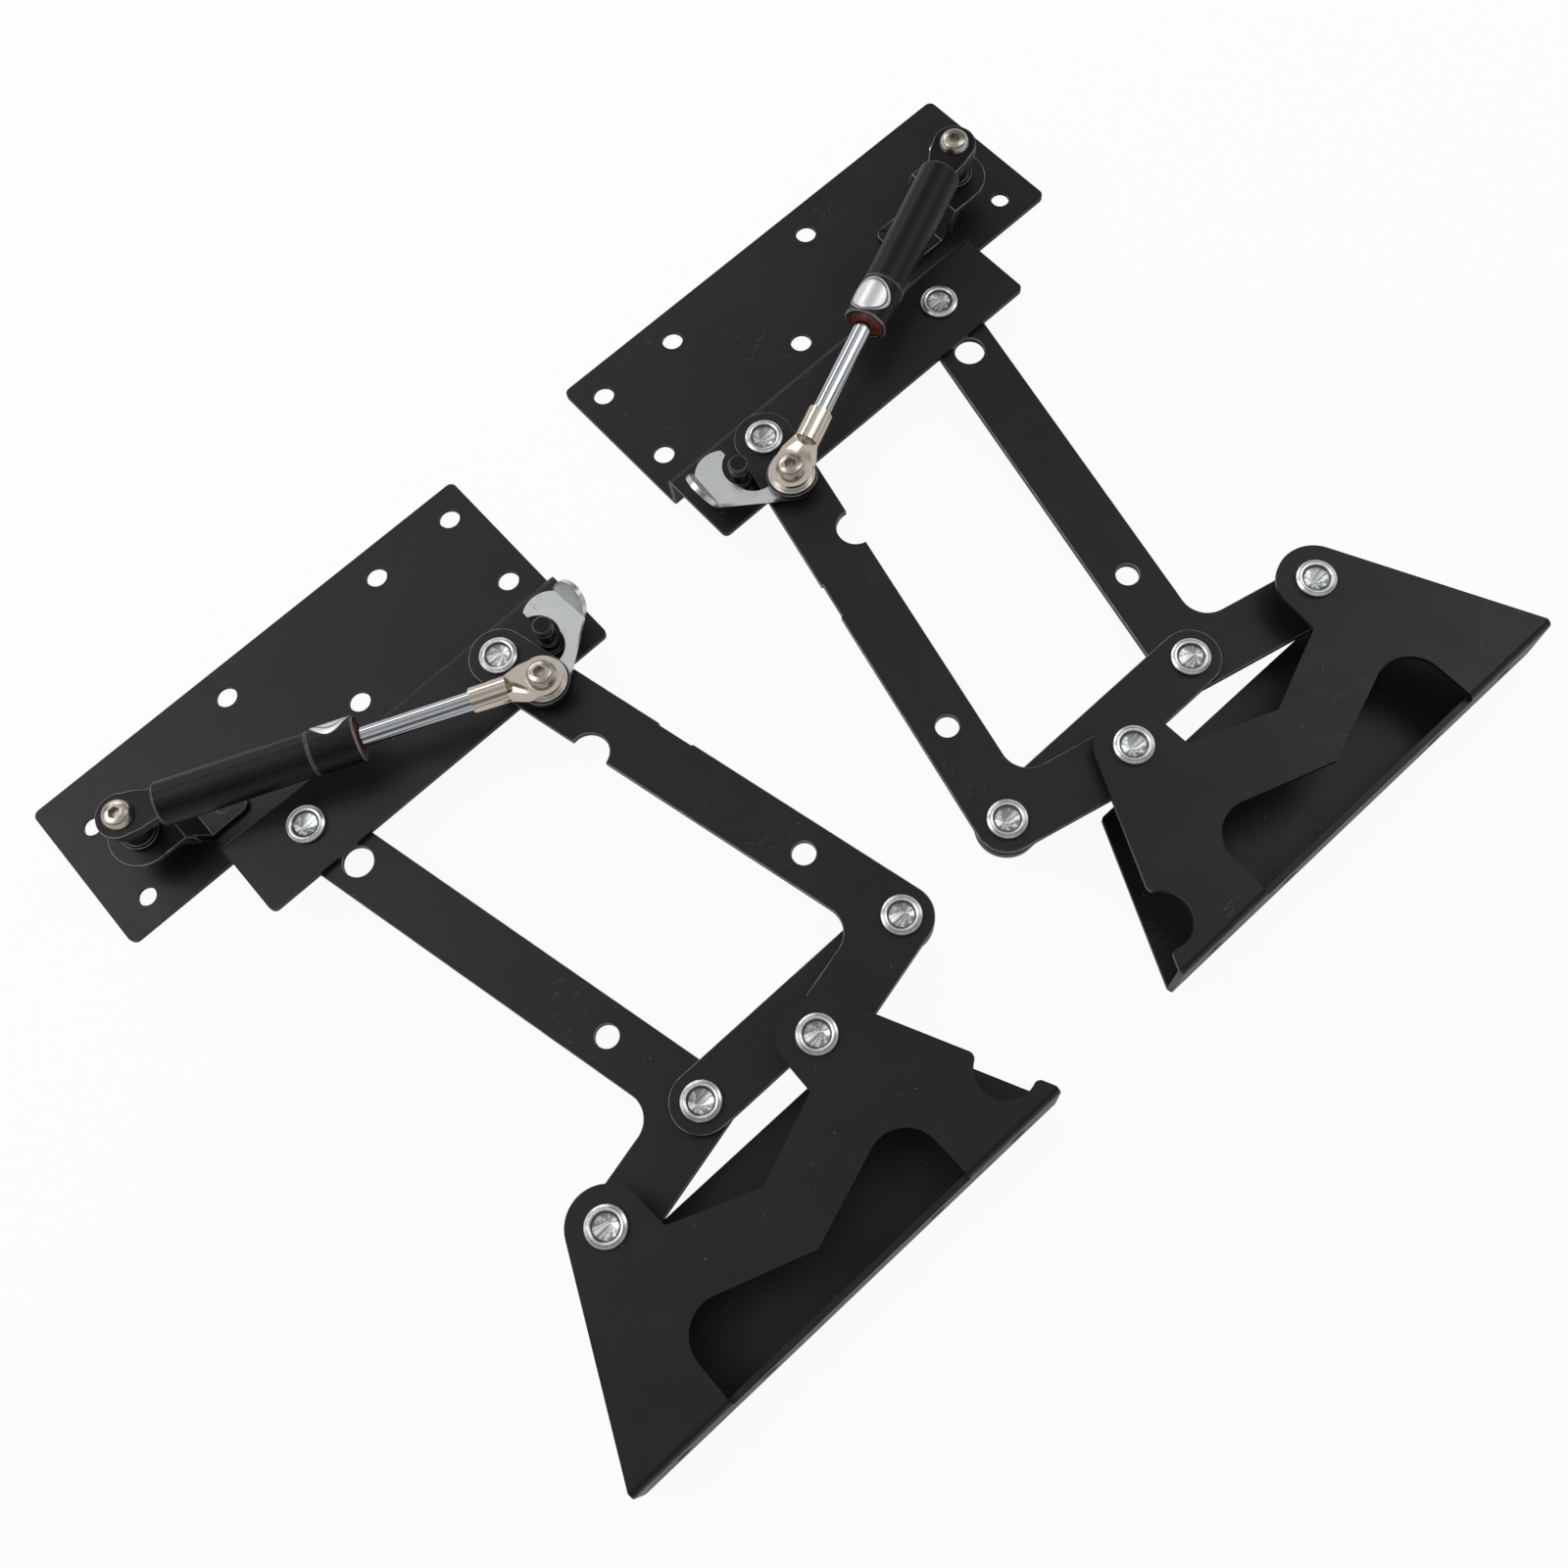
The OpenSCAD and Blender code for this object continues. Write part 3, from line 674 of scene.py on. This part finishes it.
def soft_world(scene, level):
    """Soft light all round, plain white to the camera's own rays."""
    world = bpy.data.worlds.new("studio_world")
    scene.world = world
    world.use_nodes = True
    nodes = world.node_tree.nodes
    join = world.node_tree.links.new
    back = nodes["Background"]
    place = nodes.new("ShaderNodeTexCoord")
    split = nodes.new("ShaderNodeSeparateXYZ")
    join(place.outputs["Generated"], split.inputs["Vector"])
    sky = nodes.new("ShaderNodeValToRGB")
    sky.color_ramp.interpolation = "EASE"
    fill_ramp(sky.color_ramp, greys(SKY_BANDS))
    join(split.outputs["Z"], sky.inputs["Fac"])
    join(sky.outputs["Color"], back.inputs["Color"])
    rays = nodes.new("ShaderNodeLightPath")
    strength = nodes.new("ShaderNodeMapRange")
    strength.inputs["To Min"].default_value = level
    strength.inputs["To Max"].default_value = 1.0
    join(rays.outputs["Is Camera Ray"], strength.inputs["Value"])
    join(strength.outputs["Result"], back.inputs["Strength"])


def hang_lamp(scene, name, place, size, power):
    """An area lamp that faces the middle of the floor."""
    data = bpy.data.lights.new(name, "AREA")
    data.shape = "RECTANGLE"
    data.size, data.size_y = size
    data.energy = power
    holder = bpy.data.objects.new(name, data)
    scene.collection.objects.link(holder)
    holder.location = place
    holder.rotation_mode = "QUATERNION"
    holder.rotation_quaternion = Vector(place).to_track_quat("Z", "Y")


def set_camera(scene, stage):
    azimuth = math.radians(stage.azimuth)
    elevation = math.radians(stage.elevation)
    flat = math.cos(elevation)
    back = Vector((math.sin(azimuth) * flat, -math.cos(azimuth) * flat, math.sin(elevation)))
    data = bpy.data.cameras.new("camera")
    data.lens = stage.lens
    data.clip_start = 0.01
    data.clip_end = 50.0
    holder = bpy.data.objects.new("camera", data)
    scene.collection.objects.link(holder)
    target = Vector((stage.target_x, stage.target_y, 0))
    level = (-back).to_track_quat("-Z", "Y")
    roll = Matrix.Rotation(math.radians(stage.roll), 3, "Z").to_quaternion()
    holder.rotation_mode = "QUATERNION"
    holder.rotation_quaternion = level @ roll
    holder.location = target + back * stage.distance
    scene.camera = holder


# Operators


class MECHANISM_OT_plates(Operator):
    """Finish the mounting plates, the tail brackets and the stop pins"""

    bl_idname = "mechanism.plates"
    bl_label = "Mounting plates"

    def execute(self, context):
        edges = settings()[1]
        coat = powder_coat()
        rim = edge_coat_painted_highlight()
        gloss = gloss_black()
        for side in SIDES:
            dress("plate_" + side, coat, edges.sheet, rim)
            dress("tail_bracket_" + side, coat, edges.sheet, rim)
            dress("stop_pin_" + side, gloss, edges.turned * PIN_EDGE_SHARE, rim)
        return {"FINISHED"}


class MECHANISM_OT_arms(Operator):
    """Finish the arms and the braces"""

    bl_idname = "mechanism.arms"
    bl_label = "Arms and braces"

    def execute(self, context):
        edges = settings()[1]
        coat = powder_coat()
        rim = edge_coat_painted_highlight()
        for side in SIDES:
            for part in ("upper_arm_", "lower_arm_", "brace_"):
                dress(part + side, coat, edges.sheet, rim)
        return {"FINISHED"}


class MECHANISM_OT_brackets(Operator):
    """Finish the channel brackets that carry the table top"""

    bl_idname = "mechanism.brackets"
    bl_label = "Channel brackets"

    def execute(self, context):
        edges = settings()[1]
        coat = powder_coat()
        rim = edge_coat_painted_highlight()
        for side in SIDES:
            dress("bracket_" + side, coat, edges.sheet, rim)
        return {"FINISHED"}


class MECHANISM_OT_pivots(Operator):
    """Finish the pivot rivets and their bushes"""

    bl_idname = "mechanism.pivots"
    bl_label = "Pivot rivets"

    def execute(self, context):
        rivet = rivet_zinc()
        coat = powder_coat()
        for side in SIDES:
            for part in ("plate_rivets_", "brace_rivets_", "bracket_rivets_"):
                dress(part + side, rivet, axes=upright_axes(part + side))
            for part in ("pivot_bush_", "brace_bush_", "short_bush_", "long_bush_"):
                dress(part + side, coat)
        return {"FINISHED"}


class MECHANISM_OT_hooks(Operator):
    """Finish the latch hooks and the stacks of spacers under the rod ends"""

    bl_idname = "mechanism.hooks"
    bl_label = "Latch hooks"

    def execute(self, context):
        edges = settings()[1]
        zinc = zinc_plate()
        edge_highlight = zinc_painted_edge_highlight()
        coat = powder_coat()
        rim = edge_coat_painted_highlight()
        for side in SIDES:
            dress("hook_" + side, zinc, edges.hook, edge_highlight)
            dress("hook_sleeve_" + side, coat, edges.turned, rim)
            dress("hook_spacer_" + side, coat, edges.turned, rim)
            dress("eye_washer_" + side, zinc, axes=upright_axes("eye_washer_" + side))
        return {"FINISHED"}


class MECHANISM_OT_screws(Operator):
    """Finish the button-head screws at both ends of the gas springs"""

    bl_idname = "mechanism.screws"
    bl_label = "Screws"

    def execute(self, context):
        screw = turned_metal(
            "turned_screw", settings()[0].steel, roughness=(0.26, 0.34), pitch=0.0009,
            depth=0.000003, stretch=0.2,
        )
        socket = socket_painted_shade()
        for side in SIDES:
            for part in ("eye_bolt_", "tail_bolt_"):
                piece = dress(part + side, screw, axes=upright_axes(part + side))
                line_socket(piece, socket)
        return {"FINISHED"}


class MECHANISM_OT_gas_springs(Operator):
    """Finish the gas springs: rods, tubes, seals, stickers and both ends"""

    bl_idname = "mechanism.gas_springs"
    bl_label = "Gas springs"

    def execute(self, context):
        finish, edges = settings()[:2]
        nickel = turned_metal(
            "nickel_rod_end", finish.nickel, roughness=(0.16, 0.26), pitch=0.0008,
            depth=0.00001, stretch=0.4,
        )
        piston = turned_metal(
            "piston_steel", finish.steel, roughness=(0.2, 0.3), pitch=0.0008,
            depth=0.00001, stretch=0.4,
        )
        black = gloss_black()
        rim = edge_coat_painted_highlight()
        chrome = hard_chrome()
        rubber = seal_rubber()
        sticker = silver_sticker()
        for side in SIDES:
            dress("rod_" + side, chrome)
            for part in ("tube_", "tail_eye_", "tail_post_", "gland_"):
                dress(part + side, black, edges.turned, rim)
            dress("wiper_" + side, rubber)
            dress("rod_end_" + side, nickel, axes=[gas_axis(side)])
            dress("label_" + side, sticker, axes=[sticker_axis(side)], cuts=STICKER_CUTS)
            dress("piston_" + side, piston, axes=[gas_axis(side)])
        return {"FINISHED"}


class MECHANISM_OT_stage(Operator):
    """Set the floor, the lamps and the camera"""

    bl_idname = "mechanism.stage"
    bl_label = "Stage"

    def execute(self, context):
        scene = context.scene
        stage = settings()[2]
        lay_floor(scene, stage.floor_size)
        soft_world(scene, stage.world_level)
        for name, (place, size, share) in LAMPS.items():
            hang_lamp(scene, name, place, size, stage.key_level * share)
        set_camera(scene, stage)
        scene.view_settings.view_transform = "Standard"
        return {"FINISHED"}


class MECHANISM_PT_panel(Panel):
    """Lists the pieces and their settings"""

    bl_idname = "MECHANISM_PT_panel"
    bl_label = "Lift-top mechanism"
    bl_space_type = "VIEW_3D"
    bl_region_type = "UI"
    bl_category = "Mechanism"

    def draw(self, context):
        for group in settings():
            box = self.layout.box()
            for key in group.__annotations__:
                box.prop(group, key)
        for operator in OPERATORS:
            self.layout.operator(operator.bl_idname)


GROUPS = {
    "mechanism_finish": MechanismFinish,
    "mechanism_edges": MechanismEdges,
    "mechanism_stage": MechanismStage,
}
OPERATORS = (
    MECHANISM_OT_plates,
    MECHANISM_OT_arms,
    MECHANISM_OT_brackets,
    MECHANISM_OT_pivots,
    MECHANISM_OT_hooks,
    MECHANISM_OT_screws,
    MECHANISM_OT_gas_springs,
    MECHANISM_OT_stage,
)


def register():
    for group in GROUPS.values():
        bpy.utils.register_class(group)
    for operator in OPERATORS:
        bpy.utils.register_class(operator)
    bpy.utils.register_class(MECHANISM_PT_panel)
    for key, group in GROUPS.items():
        setattr(bpy.types.Scene, key, PointerProperty(type=group))


def unregister():
    for key in GROUPS:
        delattr(bpy.types.Scene, key)
    bpy.utils.unregister_class(MECHANISM_PT_panel)
    for operator in reversed(OPERATORS):
        bpy.utils.unregister_class(operator)
    for group in reversed(tuple(GROUPS.values())):
        bpy.utils.unregister_class(group)


def main():
    register()
    bpy.ops.mechanism.plates()
    bpy.ops.mechanism.arms()
    bpy.ops.mechanism.brackets()
    bpy.ops.mechanism.pivots()
    bpy.ops.mechanism.hooks()
    bpy.ops.mechanism.screws()
    bpy.ops.mechanism.gas_springs()
    bpy.ops.mechanism.stage()


if __name__ == "__main__":
    main()
